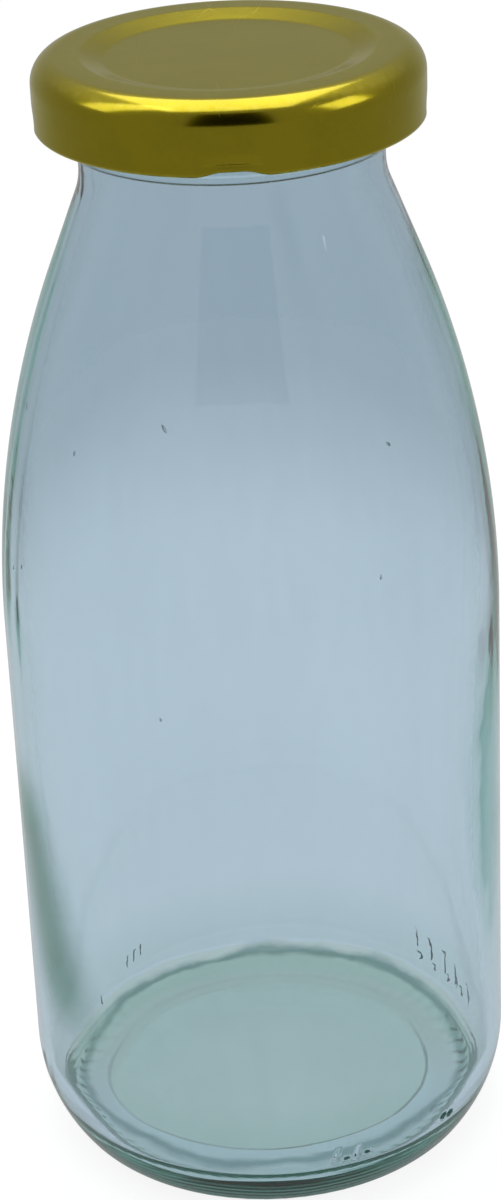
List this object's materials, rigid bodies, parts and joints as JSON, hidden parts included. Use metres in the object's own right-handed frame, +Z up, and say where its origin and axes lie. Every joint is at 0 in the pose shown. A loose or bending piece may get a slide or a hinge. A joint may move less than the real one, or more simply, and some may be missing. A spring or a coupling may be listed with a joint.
{
  "type": "glass milk bottle",
  "caption": "Small round glass milk bottle with a straight body, sloping shoulder and short neck, closed by a gold lacquered tinplate lug cap with a sealing ring.",
  "frame": {"origin": "centre of the ring that the bottle stands on, at the base", "axes": "+Z up along the bottle's axis, through the mouth and cap; -Y is the front, where one of the four cap lugs is when closed"},
  "size_m": [0.061, 0.061, 0.1418],
  "materials": {
    "glass": "polished, faint blue-grey tint, greener where it is thick",
    "gold_lacquer": "satin gold lacquer on tinplate",
    "sealing_compound": "soft off-white sealing compound"
  },
  "bodies": {
    "bottle": {"glass_bottle": "glass"},
    "liner": {"cap_liner": "sealing_compound"},
    "cap": {"cap_shell": "gold_lacquer"}
  },
  "joints": [
    {"name": "cap_lift", "type": "slide", "parent": "bottle", "child": "liner", "axis": [0, 0, 1], "range_m": [0, 0.0397]},
    {"name": "cap_turn", "type": "hinge", "parent": "liner", "child": "cap", "pos_m": [0, 0, 0.1378], "axis": [0, 0, 1], "range_deg": [0, 1080]}
  ],
  "couplings": [
    {"joint": "cap_lift", "follows": "cap_turn", "m_per_rad": 0.0021009}
  ]
}
